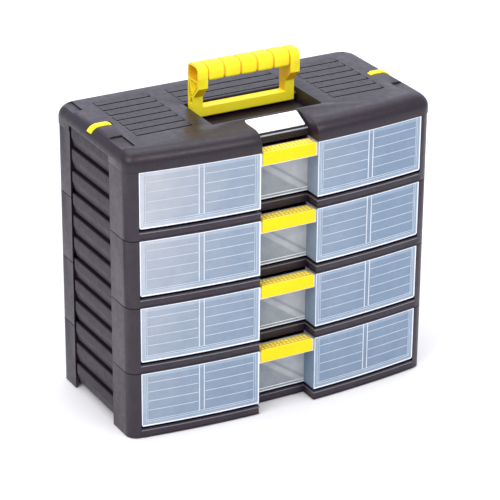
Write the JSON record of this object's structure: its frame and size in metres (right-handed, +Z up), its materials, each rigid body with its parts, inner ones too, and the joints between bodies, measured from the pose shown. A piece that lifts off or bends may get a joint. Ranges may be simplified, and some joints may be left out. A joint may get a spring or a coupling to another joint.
{
  "type": "parts organizer",
  "caption": "Portable parts organizer: stacked translucent drawers in a louvred dark case with a top cover, fold-down carry handle and yellow pulls.",
  "frame": {"origin": "on the ground under the middle of the case", "axes": "+X to the right seen from the front, +Y to the back, +Z up; the drawers open towards -Y"},
  "size_m": [0.3716, 0.1878, 0.3795],
  "materials": {
    "case_plastic": "fine-grained satin moulding",
    "clear_plastic": "frosted translucent moulding",
    "divider_plastic": "frosted translucent sheet",
    "yellow_plastic": "lightly textured gloss moulding",
    "card": "smooth blank card",
    "pin_steel": "drawn wire"
  },
  "bodies": {
    "case": {"module_1": "case_plastic", "module_2": "case_plastic", "module_3": "case_plastic", "module_4": "case_plastic", "top_cover": "case_plastic", "label_card": "card", "handle_pin_left": "pin_steel", "handle_pin_right": "pin_steel", "latch_pin_left": "pin_steel", "latch_pin_right": "pin_steel"},
    "drawer_1": {"drawer_1": "clear_plastic", "drawer_pull_1": "yellow_plastic", "divider_left_1": "divider_plastic", "divider_right_1": "divider_plastic"},
    "drawer_2": {"drawer_2": "clear_plastic", "drawer_pull_2": "yellow_plastic", "divider_left_2": "divider_plastic", "divider_right_2": "divider_plastic"},
    "drawer_3": {"drawer_3": "clear_plastic", "drawer_pull_3": "yellow_plastic", "divider_left_3": "divider_plastic", "divider_right_3": "divider_plastic"},
    "drawer_4": {"drawer_4": "clear_plastic", "drawer_pull_4": "yellow_plastic", "divider_left_4": "divider_plastic", "divider_right_4": "divider_plastic"},
    "handle": {"carry_handle": "yellow_plastic"},
    "latch_left": {"side_latch_left": "yellow_plastic"},
    "latch_right": {"side_latch_right": "yellow_plastic"}
  },
  "joints": [
    {"name": "drawer_1_slide", "type": "slide", "parent": "case", "child": "drawer_1", "axis": [0, -1, 0], "range_m": [0, 0.12]},
    {"name": "drawer_2_slide", "type": "slide", "parent": "case", "child": "drawer_2", "axis": [0, -1, 0], "range_m": [0, 0.12]},
    {"name": "drawer_3_slide", "type": "slide", "parent": "case", "child": "drawer_3", "axis": [0, -1, 0], "range_m": [0, 0.12]},
    {"name": "drawer_4_slide", "type": "slide", "parent": "case", "child": "drawer_4", "axis": [0, -1, 0], "range_m": [0, 0.12]},
    {"name": "handle_fold", "type": "hinge", "parent": "case", "child": "handle", "pos_m": [0, 0.0138, 0.3225], "axis": [1, 0, 0], "range_deg": [0, 90]},
    {"name": "latch_left_flip", "type": "hinge", "parent": "case", "child": "latch_left", "pos_m": [-0.161, 0.0095, 0.3285], "axis": [0, 1, 0], "range_deg": [0, 75]},
    {"name": "latch_right_flip", "type": "hinge", "parent": "case", "child": "latch_right", "pos_m": [0.161, 0.0095, 0.3285], "axis": [0, -1, 0], "range_deg": [0, 75]}
  ]
}
